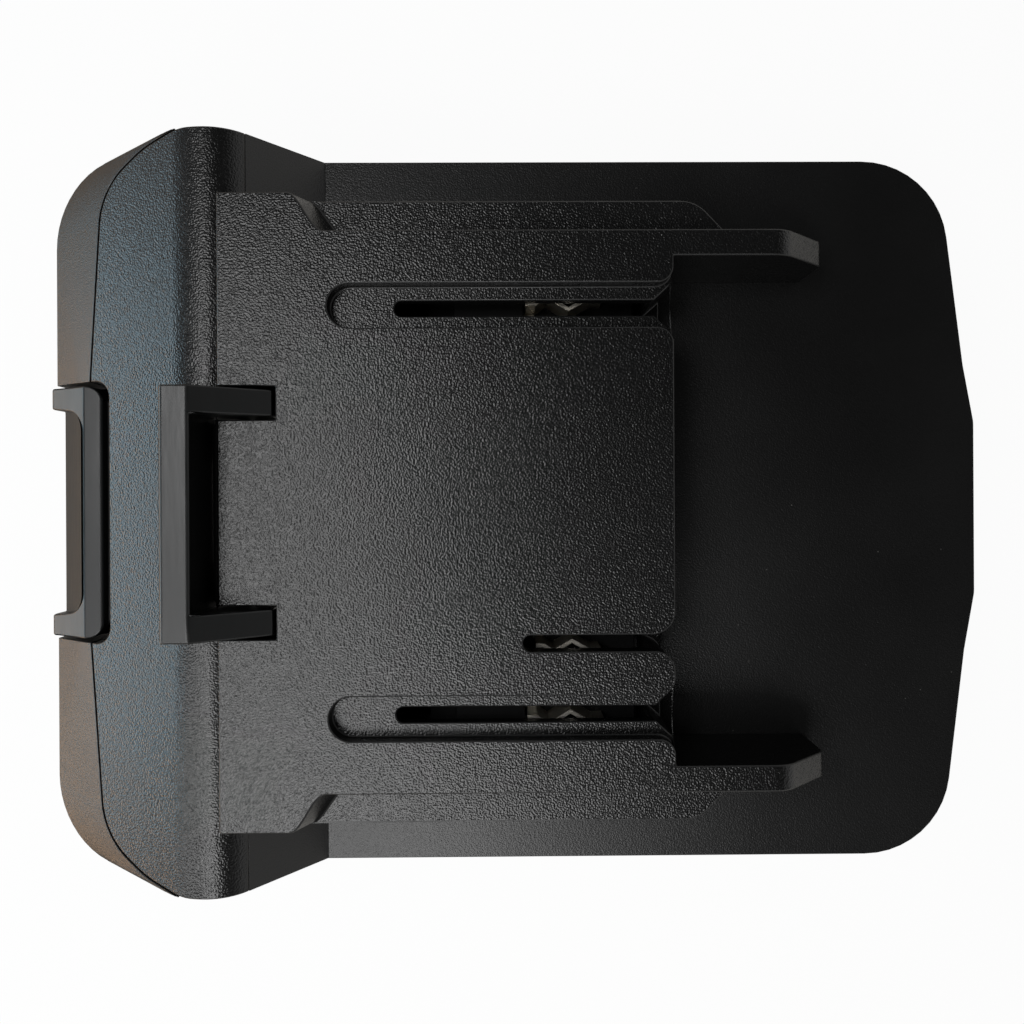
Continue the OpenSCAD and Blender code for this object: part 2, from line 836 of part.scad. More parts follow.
// Spring clip: two leaves that pinch the blade of the tool, on a base with a tail
module clip(c) {
    x0 = c[1];
    pinch = c[2];
    wide = c[3];
    k = c[4];
    line = [[pinch - (foot + 1) * k, wide], [pinch - foot * k, wide], [pinch - 2.2 * k, wide + 0.75 * k],
        [pinch, leaf_t / 2 + 0.25], [pinch + 2.3 * k, wide + 0.75 * k], [pinch + 3.6 * k, wide + 0.75 * k]];
    color([0.8, 0.76, 0.66])
    translate([0, c[0], carrier_z]) {
        mirrored()
            linear_extrude(leaf_h + leaf_t)
                polygon(ribbon(line, leaf_t));
        box([x0, -wide, 0], [pinch - foot * k, wide, leaf_t]);
        box([x0 + tail_in, -1, -6], [x0 + tail_in + leaf_t, 1, leaf_t]);
    }
}

module positive_contact() {
    clip(clips[0]);
}

module negative_contact() {
    clip(clips[1]);
}

module signal_contact() {
    clip(clips[2]);
}

module contact_carrier() {
    color([0.22, 0.22, 0.23])
    difference() {
        union() {
            box([carrier_x[0], -rail_y + wall + 0.3, deck_z],
                [carrier_x[1], rail_y - wall - 0.3, carrier_z]);
            // Ribs beside the foot of each clip, with a bridge over the foot
            for (c = clips) {
                for (d = [-1, 1])
                    box([c[1] - 1.2, c[0] + d * (c[3] + 0.95) - 0.6, carrier_z - 1],
                        [c[2] - foot * c[4] - 0.2, c[0] + d * (c[3] + 0.95) + 0.6, carrier_z + 2.4]);
                box([c[1] - 1.2, c[0] - c[3] - 0.6, carrier_z + leaf_t + 0.2],
                    [c[2] - (foot + 1) * c[4] - 0.2, c[0] + c[3] + 0.6, carrier_z + 2.4]);
            }
        }
        // Ways of the tails
        for (c = clips)
            box([c[1] + tail_in - fit, c[0] - 1 - fit, deck_z - cut],
                [c[1] + tail_in + leaf_t + fit, c[0] + 1 + fit, carrier_z + 0.01]);
        // Way of the middle cover boss
        box([cover_screw_at[2].x - 3, cover_screw_at[2].y - 3.9, deck_z - cut],
            [carrier_x[1] + cut, cover_screw_at[2].y + 3.9, carrier_z + cut]);
    }
}

// Flat blade that stands in the bay, and its tail above the block; g is a clearance around it
module blade(y, h, length, t, g) {
    along_y(y - t / 2 - g, y + t / 2 + g)
        polygon([
            [block_x0 - length, blade_z - h / 2 + 0.8 - g],
            [block_x0 - length, blade_z + h / 2 - 0.8 + g],
            [block_x0 - length + 1.2, blade_z + h / 2 + g],
            [block_mid - 2 - g, blade_z + h / 2 + g],
            [block_mid - 2 - g, tail_z],
            [block_mid + 2 + g, tail_z],
            [block_mid + 2 + g, blade_z - h / 2 - g],
            [block_x0 - length + 1.2, blade_z - h / 2 - g]
        ]);
}

module positive_blade() {
    color([0.82, 0.78, 0.68])
        blade(blade_pitch / 2, blade_h, blade_l, blade_t, 0);
}

module negative_blade() {
    color([0.82, 0.78, 0.68])
        blade(-blade_pitch / 2, blade_h, blade_l, blade_t, 0);
}

module signal_blade() {
    color([0.82, 0.78, 0.68])
        blade(0, signal_blade_h, signal_blade_l, blade_t, 0);
}

module blade_block() {
    color([0.2, 0.2, 0.21])
    difference() {
        union() {
            box([block_x0 + 0.2, -block_y, 2.1], [block_x1, block_y, split_z - 1]);
            box([bay_x - 0.4, -nose_y, nose_z], [block_x0 + 1, nose_y, bay_h - 0.3]);
            box([block_mid - 3.6, -ear_y, split_z - 2], [block_mid + 3.6, ear_y, split_z]);
        }
        for (y = [-1, 1] * blade_pitch / 2)
            blade(y, blade_h, blade_l, blade_t, 0.02);
        blade(0, signal_blade_h, signal_blade_l, blade_t, 0.02);
        mirrored()
            post(block_mid, block_screw_y, split_z - 3, split_z + cut, 1.4);
    }
}

// Route of a power lead on the side dir, from the clip tail to the blade tail
function power_route(dir) =
    let (r = lead_d / 2 + fit)
    let (x = power_clip[0] + tail_in + leaf_t + r)
    let (y = blade_pitch / 2 + blade_t / 2 + r + 0.25)
    smooth([
        [x, dir * slot_y, deck_z - 2.7],
        [x + 1, dir * slot_y, deck_z - 5],
        [x + 6, dir * slot_y, floor_z + 4.4],
        [12, dir * slot_y, floor_z + 3.6],
        [24, dir * (slot_y - 1), floor_z + 3.4],
        [32, dir * (y + 3), floor_z + 3.6],
        [block_mid - 3, dir * y, floor_z + 3.8],
        [block_mid + 2, dir * y, floor_z + 3.8]
    ], 5);

module positive_lead() {
    color([0.75, 0.08, 0.06])
        tube(power_route(1), lead_d / 2, [0.3, 0.9, 0.3], 10);
}

module negative_lead() {
    color([0.06, 0.06, 0.06])
        tube(power_route(-1), lead_d / 2, [0.3, -0.9, 0.3], 10);
}

module contact_signal_lead() {
    x = signal_clip[0] + tail_in + leaf_t + signal_d / 2 + fit;
    z = board_z + board_t;
    color([0.85, 0.75, 0.15])
        tube(concat(smooth([
            [x, signal_y, deck_z - 3],
            [x + 0.6, signal_y + 0.3, deck_z - 5],
            [x + 1.6, signal_y + 3.6, z + 3],
            [x + 2, signal_y + 5.6, z + 1]
        ], 6), [[x + 2, signal_y + 5.6, z + fit / 2]]), signal_d / 2, [1, 0.1, 0], 8);
}

module battery_signal_lead() {
    x = board_x[1] - 2.4;
    y = blade_t / 2 + signal_d / 2 + fit;
    z = board_z + board_t;
    color([0.9, 0.9, 0.9])
        tube(concat(smooth([
            [block_mid + 1.6, y, floor_z + 3.4],
            [block_mid - 4, y, floor_z + 3.4],
            [24, y + 0.6, floor_z + 2.2],
            [12, y, floor_z + 4.8],
            [x + 1.6, y, z + 2.8],
            [x, y, z + 1]
        ], 6), [[x, y, z + fit / 2]]), signal_d / 2, [0.1, 1, 0.1], 8);
}

module signal_board() {
    color([0.07, 0.36, 0.2])
    difference() {
        box([board_x[0], -board_y, board_z], [board_x[1], board_y, board_z + board_t]);
        for (x = [board_x[0] + peg_in, board_x[1] - peg_in], y = [-1, 1] * (board_y - peg_in))
            post(x, y, board_z - cut, board_z + board_t + cut, peg_r + fit);
    }
}

module board_parts() {
    controller = [6, 5, 1.5];
    transistor = [5, 5.2, 2.2];
    resistor = [2, 1.4, 0.6];
    capacitor_r = 2.5;
    color([0.12, 0.12, 0.12])
    translate([board_x[0], 0, board_z + board_t]) {
        translate([10, -3, 0])
            cube(controller);
        for (i = [0 : 1])
            translate([4.2 + i * (transistor.x + 1.8), 4.2, 0])
                cube(transistor);
        for (i = [0 : 3])
            translate([5 + i * (resistor.x + 1.2), -8.6, 0])
                cube(resistor);
        post(5, -1, 0, 2 * capacitor_r, capacitor_r);
    }
}

echo(spring_gap_mm = spring_gap());

lower_shell();
upper_shell();
top_cover();
case_screws();
cover_screws();
release_latch();
latch_spring_left();
latch_spring_right();
positive_contact();
negative_contact();
signal_contact();
contact_carrier();
positive_blade();
negative_blade();
signal_blade();
blade_block();
block_screws();
positive_lead();
negative_lead();
contact_signal_lead();
battery_signal_lead();
signal_board();
board_parts();
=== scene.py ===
"""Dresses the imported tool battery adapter: moulded case, latch, springs, leads, metal parts and a studio.

Everything is in metres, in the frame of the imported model: +X to the rear, +Y to the left, +Z up.
"""

import json
import math

import bmesh
import bpy
import numpy as np
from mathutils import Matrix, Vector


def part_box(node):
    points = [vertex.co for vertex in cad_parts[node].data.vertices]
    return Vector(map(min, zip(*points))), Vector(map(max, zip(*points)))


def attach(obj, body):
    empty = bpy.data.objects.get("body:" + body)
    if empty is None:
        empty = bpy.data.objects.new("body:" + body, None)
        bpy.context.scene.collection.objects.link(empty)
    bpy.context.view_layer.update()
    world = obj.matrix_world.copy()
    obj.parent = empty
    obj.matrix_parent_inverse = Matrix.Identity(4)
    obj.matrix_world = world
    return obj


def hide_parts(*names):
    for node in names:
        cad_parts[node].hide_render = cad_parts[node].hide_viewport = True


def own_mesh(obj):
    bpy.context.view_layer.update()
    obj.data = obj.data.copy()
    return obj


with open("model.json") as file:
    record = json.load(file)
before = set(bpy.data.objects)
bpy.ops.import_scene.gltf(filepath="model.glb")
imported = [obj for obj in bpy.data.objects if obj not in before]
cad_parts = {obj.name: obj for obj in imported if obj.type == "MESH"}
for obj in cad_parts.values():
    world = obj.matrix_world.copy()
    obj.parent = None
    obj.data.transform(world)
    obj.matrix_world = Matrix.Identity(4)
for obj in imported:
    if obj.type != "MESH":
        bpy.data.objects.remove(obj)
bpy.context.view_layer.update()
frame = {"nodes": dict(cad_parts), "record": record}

bl_info = {
    "name": "Tool battery adapter",
    "version": (1, 0, 0),
    "blender": (4, 5, 0),
    "location": "3D View > Sidebar > Adapter",
    "description": "Builds the looks of a slide-on tool battery adapter around its packed solids",
    "category": "Object",
}

MM = 0.001
# Corners closer than this are one corner, and neighbours flatter than this are one face
MERGE = 0.002 * MM
FLAT = math.radians(0.4)
# Edges sharper than this are rounded, and flatter ones are shaded smooth
SHARP = math.radians(28)
# Nearly all values of a noise lie in the first span, and the higher ones in the second
MOST = (0.3, 0.7)
HIGHER = (0.35, 0.7)
WHITE = (1, 1, 1, 1)


def linear(code):
    """Linear colour with alpha from an sRGB hex value such as #1a2b3c."""
    srgb = np.array([int(code[i:i + 2], 16) for i in (1, 3, 5)]) / 255
    low, high = srgb / 12.92, ((srgb + 0.055) / 1.055) ** 2.4
    return (*np.where(srgb <= 0.04045, low, high).tolist(), 1.0)


def colour(label, code, about):
    """A colour that the user can change, given as sRGB hex."""
    return bpy.props.FloatVectorProperty(
        name=label, description=about, subtype="COLOR", size=4, min=0, max=1, default=linear(code))


def length(label, mm, about):
    """A length that the user can change, given in millimetres and kept in metres."""
    return bpy.props.FloatProperty(
        name=label, description=about, default=mm * MM, min=0, unit="LENGTH", precision=5)


def place(label, mm, about):
    """A place along an axis that the user can change, given in millimetres and kept in metres."""
    return bpy.props.FloatProperty(
        name=label, description=about, default=mm * MM, unit="LENGTH", precision=5)


def angle(label, degrees, about):
    """An angle that the user can change, given in degrees and kept in radians."""
    return bpy.props.FloatProperty(
        name=label, description=about, default=math.radians(degrees), subtype="ANGLE", precision=3)


def share(label, part, about):
    """A share of the width of the picture that the user can change."""
    return bpy.props.FloatProperty(name=label, description=about, default=part, min=-1, max=1, precision=4)


def power(label, watts, about):
    """The power of a lamp that the user can change, in watts."""
    return bpy.props.FloatProperty(name=label, description=about, default=watts, min=0, precision=3)


def strength(label, value, about):
    """The strength of the light from all round that the user can change."""
    return bpy.props.FloatProperty(name=label, description=about, default=value, min=0, max=1)


class AdapterColours(bpy.types.PropertyGroup):
    """Colours of the finishes."""

    cover: colour("Cover", "#0b0b0b", "Grained black plastic of the cover with the rails")
    shell: colour("Shell", "#0a0a0a", "Satin black plastic of the two shells")
    latch: colour("Latch", "#0d0e0e", "Smooth black plastic of the latch")
    carrier: colour("Carrier", "#0d0d0e", "Glass-filled black nylon of the contact carriers")
    dust: colour("Dust", "#8d8c88", "Flecks of dust on the grained plastic")
    copper: colour("Contacts", "#dedad0", "Tinned copper alloy of contacts and blades")
    copper_dull: colour("Contacts, dull", "#b9ab8f", "Duller clouds on the tinned copper alloy")
    zinc: colour("Screws", "#b4b9bf", "Bright zinc on the steel screws")
    zinc_dull: colour("Screws, dull", "#8c8a80", "Duller clouds on the zinc")
    spring: colour("Springs", "#8f9295", "Drawn steel wire of the latch springs")
    spring_dull: colour("Springs, dull", "#5b5752", "Duller clouds on the steel wire")
    red: colour("Positive lead", "#b5140f", "Red insulation of the positive lead")
    black: colour("Negative lead", "#151516", "Black insulation of the negative lead")
    yellow: colour("Contact signal lead", "#d6b21c", "Yellow insulation of the short signal lead")
    white: colour("Battery signal lead", "#dedcd4", "White insulation of the long signal lead")
    mask: colour("Board", "#0d5530", "Green solder mask of the signal board")
    runs: colour("Board, over copper", "#2c8a4f", "Solder mask where copper lies under it")
    chip: colour("Chips", "#18181a", "Black epoxy of the parts on the board")
    floor: colour("Floor", "#f4f4f2", "Pale floor of the studio")
    # The next three floor colours show only in reflections and are painted light and shade: dim painted shade
    # close before the case, a paler tone beside it, and a warm painted pool of light well in front
    floor_near_painted_shade: colour("Floor, close before", "#8a847e", "Floor close before the case, in reflections")
    floor_beside_painted_reflection: colour("Floor, beside", "#c4c1bc", "Floor beside and behind the case, in reflections")
    floor_front_painted_light: colour("Floor, in front", "#ffdcb8", "Warm floor well in front of the case, in reflections")


class AdapterSizes(bpy.types.PropertyGroup):
    """Sizes of the details that the scene adds to the solids."""

    cover_edge: length("Cover edge", 0.14, "Rounding of the edges of the cover")
    shell_edge: length("Shell edge", 0.08, "Rounding of the edges of the shells")
    latch_edge: length("Latch edge", 0.18, "Rounding of the edges of the latch")
    metal_edge: length("Metal edge", 0.06, "Rounding of the edges of contacts and blades")
    screw_edge: length("Screw edge", 0.2, "Rounding of the screw heads")
    # Both grains are drawn a little coarser than the real ones, so that they show
    cover_grain: length("Cover grain", 0.18, "Width of one grain on the cover")
    shell_grain: length("Shell grain", 0.15, "Width of one grain on the shells")
    wire: length("Spring wire", 0.8, "Diameter of the wire of the latch springs")
    power_lead: length("Power lead", 2.6, "Outer diameter of a power lead")
    signal_lead: length("Signal lead", 1.3, "Outer diameter of a signal lead")
    turns: bpy.props.IntProperty(
        name="Spring turns", description="Turns of a latch spring", default=6, min=4, max=9)


class AdapterStudio(bpy.types.PropertyGroup):
    """Camera and lamps."""

    camera_height: length("Camera height", 122.4, "Height of the lens above the floor")
    camera_x: place("Camera along", -0.35, "Place of the lens along the case")
    camera_y: place("Camera across", 1.72, "Place of the lens across the case")
    camera_lean: angle("Camera lean", -0.45, "How far the camera leans over towards the front of the case")
    camera_turn: angle("Camera turn", -0.3, "How far the camera is turned about its own line of sight")
    crop_x: share("Crop along", -0.0096, "Shift of the picture along the case, as a share of its width")
    crop_y: share("Crop across", -0.0178, "Shift of the picture across the case, as a share of its width")
    lens: bpy.props.FloatProperty(
        name="Focal length", description="Focal length on a 36 mm sensor, in millimetres",
        default=30.9, min=10, max=200)
    key: power("Key lamp", 0.22, "Power of the soft lamp high in front of the case")
    corner: power("Corner lamp", 0.17, "Power of the soft lamp high over the lower front corner")
    low: power("Low lamp", 0.13, "Power of the soft lamp half way down at the lower front corner")
    side: power("Side lamp", 0.24, "Power of the soft lamp beside the case")
    cool: power("Cool lamp", 0.3, "Power of the low, wide, cool lamp in front of the case")
    warm: power("Warm lamp", 0.17, "Power of the wide warm lamp close to the floor in front of the case")
    horizon: strength("Horizon", 0.66, "Strength of the pale wall all round in reflections")
    sky: strength("Sky", 0.03, "Strength of the even light all round")


def colours():
    """The scene's colours."""
    return bpy.context.scene.adapter_colours


def sizes():
    """The scene's sizes."""
    return bpy.context.scene.adapter_sizes


def studio():
    """The scene's camera and lamp settings."""
    return bpy.context.scene.adapter_studio


# Steps of a material


def add(tree, kind, inputs=None, **settings):
    """A shader node with its settings, its input values, and its links from other sockets."""
    node = tree.nodes.new(kind)
    for key, value in settings.items():
        setattr(node, key, value)
    for key, value in (inputs or {}).items():
        if isinstance(value, bpy.types.NodeSocket):
            tree.links.new(value, node.inputs[key])
        else:
            node.inputs[key].default_value = value
    return node


def blank(name):
    """A new material, its empty tree, and the point that is shaded, in the piece's own coordinates."""
    material = bpy.data.materials.new(name)
    material.use_nodes = True
    tree = material.node_tree
    tree.nodes.clear()
    return material, tree, add(tree, "ShaderNodeTexCoord").outputs["Object"]


def surface(tree, inputs):
    """Ends a tree in one principled shader."""
    shader = add(tree, "ShaderNodeBsdfPrincipled", inputs)
    add(tree, "ShaderNodeOutputMaterial", {"Surface": shader.outputs[0]})


def stretched(tree, point, scale):
    """The point with scaled coordinates: a pattern on it runs long where the scale is small."""
    return add(tree, "ShaderNodeMapping", {"Vector": point, "Scale": scale}).outputs[0]


def noise(tree, point, width, detail=0.0, roughness=0.5):
    """Soft noise with cells about that wide, in metres."""
    return add(tree, "ShaderNodeTexNoise", {
        "Vector": point, "Scale": 1 / width, "Detail": detail, "Roughness": roughness}).outputs[0]


def scatter(tree, point, apart, randomness, distance="EUCLIDEAN"):
    """Distance to the nearest of scattered dots, which are about that far apart, as a share of that."""
    dots = {"Vector": point, "Scale": 1 / apart, "Randomness": randomness}
    return add(tree, "ShaderNodeTexVoronoi", dots, feature="F1", distance=distance).outputs["Distance"]


def ramp(tree, value, span, result):
    """The span of a value led over to the span of the result, and held at its ends."""
    return add(tree, "ShaderNodeMapRange", {
        "Value": value, "From Min": span[0], "From Max": span[1],
        "To Min": result[0], "To Max": result[1]}).outputs[0]


def reckon(tree, operation, first, second):
    """Two values joined by arithmetic."""
    return add(tree, "ShaderNodeMath", {0: first, 1: second}, operation=operation).outputs[0]


def scaled(tree, base, factor):
    """A colour times a factor."""
    return add(tree, "ShaderNodeVectorMath", {0: base[:3], "Scale": factor}, operation="SCALE").outputs[0]


def blend(tree, factor, first, second):
    """The first colour where the factor is 0, and the second where it is 1."""
    return add(tree, "ShaderNodeMix", {0: factor, 6: first, 7: second}, data_type="RGBA").outputs[2]


def relief(tree, height, depth):
    """Normals of a skin that stands out by that depth, in metres, as the height goes from 0 to 1."""
    return add(tree, "ShaderNodeBump", {"Strength": 1.0, "Distance": depth, "Height": height}).outputs[0]


# Materials


def moulded(name, base, grain, depth, rough, spread, speck):
    """Plastic moulded against an etched tool. Soft grains stand out of it, catch the light on one side and go
    dark on the other. The gloss drifts a little from place to place, and dust sits here and there."""
    material, tree, point = blank(name)
    grains = noise(tree, point, grain)
    drift = noise(tree, point, width=28 * MM, detail=3.0, roughness=0.6)
    dots = scatter(tree, point, apart=2.6 * MM, randomness=1.0)
    fleck = ramp(tree, dots, (0.018, 0.035), (speck, 0.0))
    # Painted shade and light: the base colour is darker in the pits between the grains and paler on their
    # tops, and the drift adds a random tone on top of that
    pit_painted_shade = ramp(tree, grains, (0.3, 0.62), (0.72, 1.12))
    painted_shade_and_tone = reckon(tree, "MULTIPLY", pit_painted_shade, ramp(tree, drift, MOST, (0.9, 1.1)))
    surface(tree, {
        "Base Color": blend(tree, fleck, scaled(tree, base, painted_shade_and_tone), colours().dust),
        "Roughness": ramp(tree, drift, MOST, (rough - spread, rough + spread)), "IOR": 1.52,
        "Normal": relief(tree, grains, depth)})
    return material


def rubbed_with_painted_highlight(name, base, rough):
    """The rounded edges of a moulding: no grain there, and handling has polished them a little paler; the
    paler colour is partly a painted highlight along the edges.
    """
    material, tree, point = blank(name)
    wear_and_painted_highlight = noise(tree, point, width=6 * MM, detail=4.0, roughness=0.65)
    surface(tree, {
        # Painted highlight: along the rounded edges the base colour is made up to twice as pale, in patches
        # that also stand for wear
        "Base Color": scaled(tree, base, ramp(tree, wear_and_painted_highlight, HIGHER, (1.0, 2.0))),
        "Roughness": ramp(tree, wear_and_painted_highlight, HIGHER, (rough + 0.06, rough - 0.08)), "IOR": 1.52})
    return material


def acetal(name, base):
    """Acetal of the sliding latch, moulded in a polished tool: an even, slightly waxy face with hairline
    rubs that run the way it is handled."""
    material, tree, point = blank(name)
    across = stretched(tree, point, (1.0, 0.06, 1.0))
    hairs = noise(tree, across, width=0.24 * MM, detail=2.0, roughness=0.6)
    skin = noise(tree, point, width=0.3 * MM, detail=2.0)
    drift = noise(tree, point, width=14 * MM, detail=3.0, roughness=0.6)
    surface(tree, {
        "Base Color": scaled(tree, base, ramp(tree, drift, MOST, (0.88, 1.14))),
        "Roughness": ramp(tree, hairs, (0.35, 0.68), (0.33, 0.39)), "IOR": 1.48,
        "Normal": relief(tree, skin, 0.004 * MM)})
    return material


def filled_nylon(name, base):
    """Nylon filled with glass fibre, moulded plain: dull, with short pale fibre streaks in the skin."""
    material, tree, point = blank(name)
    flow = stretched(tree, point, (1.0, 0.15, 0.5))
    fibres = noise(tree, flow, width=0.28 * MM, detail=2.0, roughness=0.7)
    surface(tree, {
        "Base Color": scaled(tree, base, ramp(tree, fibres, (0.4, 0.72), (0.9, 1.25))),
        "Roughness": ramp(tree, fibres, MOST, (0.5, 0.66)), "IOR": 1.53, "Specular IOR Level": 0.2,
        "Normal": relief(tree, fibres, 0.006 * MM)})
    return material


def metal(name, base, dull, rough, streak, stretch):
    """Rolled, drawn or plated metal: fine lines along the way it was worked, and duller clouds where it was
    touched or heated."""
    material, tree, point = blank(name)
    lines = noise(tree, stretched(tree, point, stretch), width=streak, detail=3.0, roughness=0.6)
    clouds = noise(tree, point, width=4.4 * MM, detail=4.0, roughness=0.6)
    surface(tree, {
        "Base Color": blend(tree, ramp(tree, clouds, (0.4, 0.75), (0.0, 0.7)), base, dull),
        "Roughness": ramp(tree, lines, MOST, (rough - 0.07, rough + 0.12)), "Metallic": 1.0,
        "Normal": relief(tree, lines, 0.003 * MM)})
    return material


def insulation(name, base):
    """Silicone rubber drawn over a wire: a satin skin, a little uneven, with some grime."""
    material, tree, point = blank(name)
    grime = noise(tree, point, width=3.2 * MM, detail=4.0, roughness=0.6)
    skin = noise(tree, point, width=0.3 * MM, detail=1.0)
    surface(tree, {
        "Base Color": scaled(tree, base, ramp(tree, grime, HIGHER, (1.05, 0.72))),
        "Roughness": ramp(tree, grime, HIGHER, (0.34, 0.5)), "IOR": 1.53,
        "Normal": relief(tree, skin, 0.004 * MM)})
    return material


def laminate(name, base):
    """Glass-epoxy board under green solder mask: paler runs where copper lies under the mask, and the weave
    of the glass cloth just showing. The weave is drawn coarser than the real one, so that it shows."""
    material, tree, point = blank(name)
    dots = scatter(tree, point, apart=2.4 * MM, randomness=0.8, distance="CHEBYCHEV")
    copper = ramp(tree, dots, (0.34, 0.37), (0.0, 1.0))
    # A diagonal wave comes round once in 2 pi / (10 scale) along each axis
    thread = 2 * MM
    weave = add(tree, "ShaderNodeTexWave", {
        "Vector": point, "Scale": math.pi / (5 * thread), "Distortion": 0.4}, bands_direction="DIAGONAL")
    cloth = scaled(tree, base, ramp(tree, weave.outputs[1], (0.0, 1.0), (0.9, 1.1)))
    surface(tree, {
        "Base Color": blend(tree, copper, cloth, colours().runs), "Roughness": 0.32, "IOR": 1.55,
        "Normal": relief(tree, copper, 0.03 * MM)})
    return material


def pale_floor(name, base):
    """Matt white paper. The camera sees it close to white, with a soft shadow. In reflections it shows
    painted
    light and shade: warm and bright well in front of the case, painted for the low light that falls there,
    painted dim close before the case, and pale beside it."""
    material, tree, point = blank(name)
    path = add(tree, "ShaderNodeLightPath").outputs
    paint = colours()
    along = add(tree, "ShaderNodeSeparateXYZ", {0: point}).outputs[0]
    # Painted light and shade for reflections: a warm painted pool well in front, painted shade close before
    # the case, a paler tone beside it
    front = ramp(tree, along, (-170 * MM, -110 * MM), (1.0, 0.0))
    beside = ramp(tree, along, (-75 * MM, -45 * MM), (0.0, 1.0))
    near = blend(tree, beside, paint.floor_near_painted_shade, paint.floor_beside_painted_reflection)
    mirrored = blend(tree, front, near, paint.floor_front_painted_light)
    tint = blend(tree, path["Is Glossy Ray"], WHITE, mirrored)
    seen = reckon(tree, "MAXIMUM", path["Is Camera Ray"], path["Is Glossy Ray"])
    shown = reckon(tree, "MAXIMUM", seen, path["Is Transmission Ray"])
    glow = reckon(tree, "MULTIPLY", shown, 0.95)
    paper = add(tree, "ShaderNodeBsdfDiffuse", {"Color": base})
    lit = add(tree, "ShaderNodeEmission", {"Color": tint, "Strength": 1.0})
    both = add(tree, "ShaderNodeMixShader", {0: glow, 1: paper.outputs[0], 2: lit.outputs[0]})
    add(tree, "ShaderNodeOutputMaterial", {"Surface": both.outputs[0]})
    return material


# Shapes


def put(name, data):
    """An object with that mesh, lamp or camera at the origin, in the scene."""
    piece = bpy.data.objects.new(name, data)
    bpy.context.scene.collection.objects.link(piece)
    return piece


def new_mesh(name, points, faces, finish):
    """A smooth-shaded mesh of those points and faces, in that finish."""
    mesh = bpy.data.meshes.new(name)
    mesh.from_pydata(points.tolist(), [], faces)
    mesh.polygons.foreach_set("use_smooth", np.ones(len(mesh.polygons), bool))
    mesh.materials.append(finish)
    mesh.update()
    return mesh


def through(points, steps):
    """A smooth path through the points. Between neighbours b and c, with a before and d after them, it is
    (2b + (c - a)t + (2a - 5b + 4c - d)t^2 + (3b - a - 3c + d)t^3) / 2 for t from 0 to 1."""
    p = np.asarray(points, float)
    stretches = (np.vstack([p[:1], p[:-2]]), p[:-1], p[1:], np.vstack([p[2:], p[-1:]]))
    a, b, c, d = (x[:, None, :] for x in stretches)
    t = (np.arange(steps) / steps)[None, :, None]
    curve = 2 * b + (c - a) * t + (2 * a - 5 * b + 4 * c - d) * t**2 + (3 * b - a - 3 * c + d) * t**3
    return np.vstack([curve.reshape(-1, 3) / 2, p[-1:]])


def unit(v):
    """Each row of v at length 1."""
    return v / np.linalg.norm(v, axis=1, keepdims=True)


def tube(path, radius, sides, up):
    """A closed round tube. Point (i, j) is path point i plus radius times (cos w side + sin w over), with
    w = 2 pi j / sides, where side and over are square to the path there. A fan closes each end."""
    count = len(path)
    ahead = unit(np.gradient(path, axis=0))
    side = unit(np.cross(ahead, np.asarray(up, float)))
    over = np.cross(ahead, side)
    w = 2 * np.pi * np.arange(sides)[None, :, None] / sides
    rings = path[:, None] + radius * (np.cos(w) * side[:, None] + np.sin(w) * over[:, None])
    points = np.vstack([rings.reshape(-1, 3), path[:1], path[-1:]])
    i, j = np.meshgrid(np.arange(count - 1) * sides, np.arange(sides), indexing="ij")
    k = (j + 1) % sides
    walls = np.stack([i + j, i + k, i + k + sides, i + j + sides], -1).reshape(-1, 4)
    j, k, last = j[0], k[0], (count - 1) * sides
    start = np.stack([np.full(sides, count * sides), k, j], -1)
    end = np.stack([np.full(sides, count * sides + 1), last + j, last + k], -1)
    return points, walls.tolist() + start.tolist() + end.tolist()


def rounded_copy(node, name, radius, finishes, segments=2):
    """A copy of a CAD node's solid whose sharp edges are rolled over by a bevel of that radius. The first
    finish is for the faces and the last for the rounded edges."""
    solid = bmesh.new()
    solid.from_mesh(frame["nodes"][node].data)
    bmesh.ops.remove_doubles(solid, verts=solid.verts, dist=MERGE)
    bmesh.ops.dissolve_limit(solid, angle_limit=FLAT, verts=solid.verts, edges=solid.edges)
    mesh = bpy.data.meshes.new(name)
    solid.to_mesh(mesh)
    solid.free()
    # Normals stored with the solid would shade the new edges as they were before
    if "custom_normal" in mesh.attributes:
        mesh.attributes.remove(mesh.attributes["custom_normal"])
    for finish in finishes:
        mesh.materials.append(finish)
    mesh.polygons.foreach_set("use_smooth", np.ones(len(mesh.polygons), bool))
    mesh.polygons.foreach_set("material_index", np.zeros(len(mesh.polygons), np.int32))
    mesh.set_sharp_from_angle(angle=SHARP)
    piece = put(name, mesh)
    roll = piece.modifiers.new("Rounded edges", "BEVEL")
    roll.width = radius
    roll.segments = segments
    roll.limit_method = "ANGLE"
    roll.angle_limit = SHARP
    roll.use_clamp_overlap = False
    roll.material = len(finishes) - 1
    flat = piece.modifiers.new("Flat faces", "WEIGHTED_NORMAL")
    flat.weight = 100
    flat.keep_sharp = True
    return piece


def body_of(node):
    """The body that a CAD node belongs to."""
    groups = frame["record"]["behaviour"]["bodies"]
    return next(body for body, members in groups.items() if node in members)


def stand_for(piece, node):
    """The piece takes the place of a CAD node, on its body."""
    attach(piece, body_of(node))
    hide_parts(node)


class Piece:
    """What the operators share."""

    bl_options = {"REGISTER", "UNDO"}


class ADAPTER_OT_cover(Piece, bpy.types.Operator):
    """Cover with the cap, the rails and the terminal slots"""

    bl_idname = "adapter.cover"
    bl_label = "Top cover"

    def execute(self, context):
        size, paint = sizes(), colours()
        grained = moulded(
            "ABS, moulded with a coarse grain", paint.cover, size.cover_grain,
            depth=0.046 * MM, rough=0.28, spread=0.02, speck=0.3)
        edges = rubbed_with_painted_highlight("ABS, rubbed edges of the cover", paint.cover, rough=0.42)
        piece = rounded_copy("top_cover", "cover_moulding", size.cover_edge, [grained, edges])
        stand_for(piece, "top_cover")
        return {"FINISHED"}


